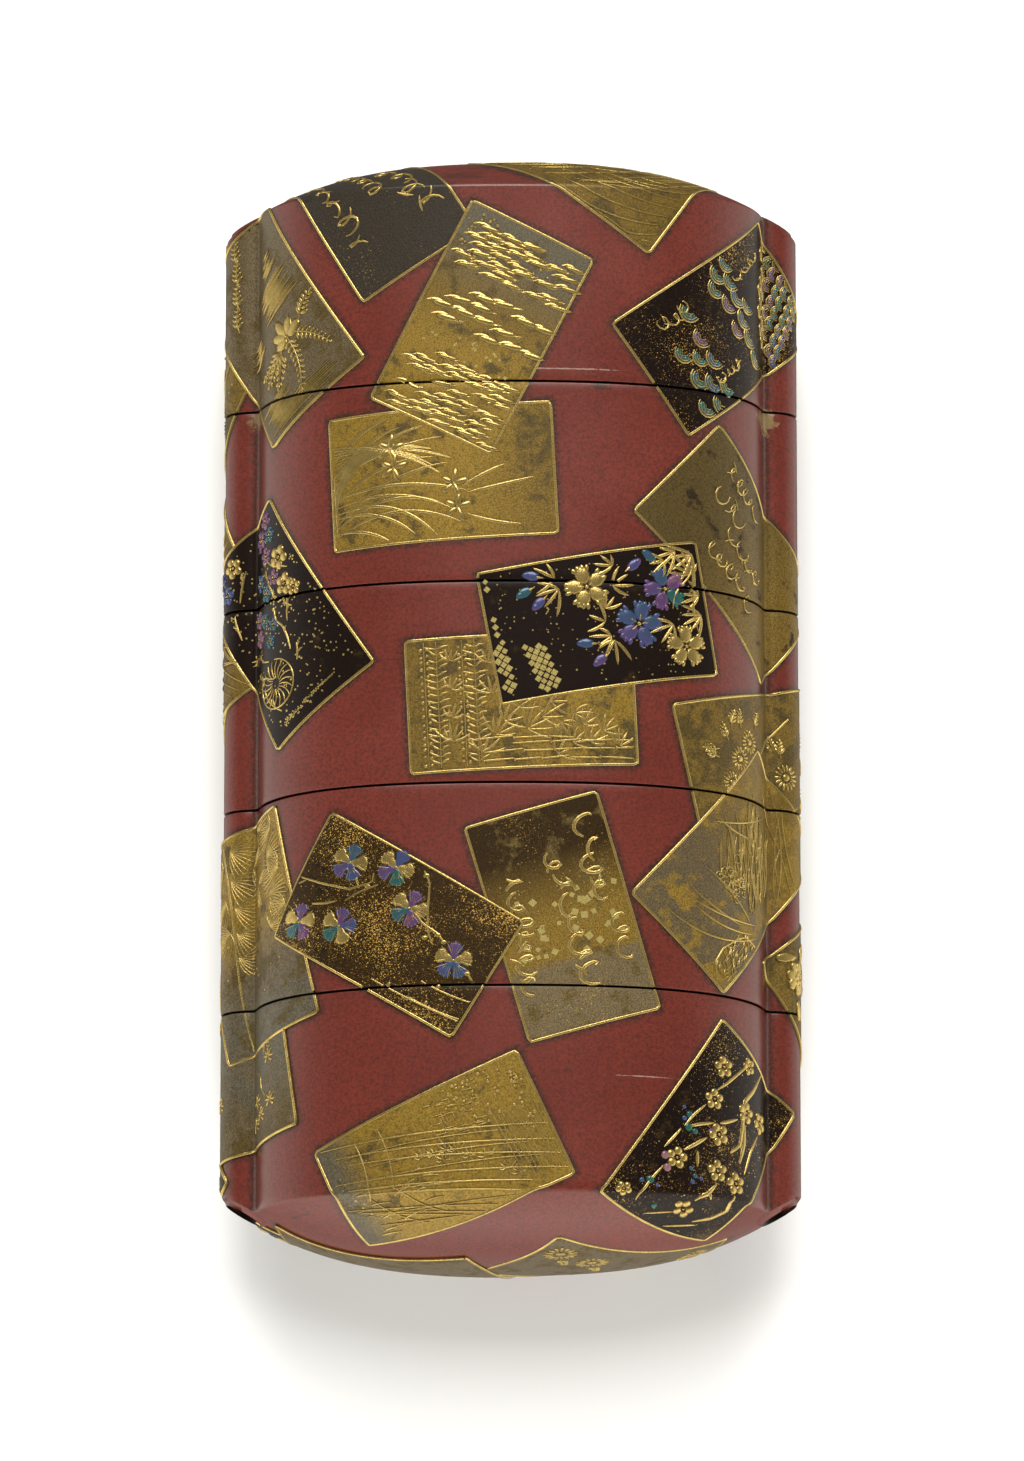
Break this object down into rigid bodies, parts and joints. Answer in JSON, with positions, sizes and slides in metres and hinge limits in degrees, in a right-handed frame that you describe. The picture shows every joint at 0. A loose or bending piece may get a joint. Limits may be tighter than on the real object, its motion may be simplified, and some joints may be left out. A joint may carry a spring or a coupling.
{
  "type": "inro case",
  "caption": "Flat lacquered carrying case of stacked hollow sections under a domed lid, with a cord channel down each side and overlapping raised gold and black cards.",
  "frame": {"origin": "centre of the narrow resting flat down the back, under the middle of the case", "axes": "+X across the decorated front, +Y along the case towards the lid, +Z out of the decorated front"},
  "size_m": [0.052, 0.1014, 0.0249],
  "materials": {
    "red_lacquer": "polished red lacquer",
    "black_lacquer": "polished black lacquer with gold dust",
    "gold_lacquer": "satin gold powder in lacquer",
    "shell_inlay": "polished blue and purple shell"
  },
  "bodies": {
    "root": {"lid": "red_lacquer", "first_case": "red_lacquer", "second_case": "red_lacquer", "third_case": "red_lacquer", "base_case": "red_lacquer"}
  },
  "joints": []
}
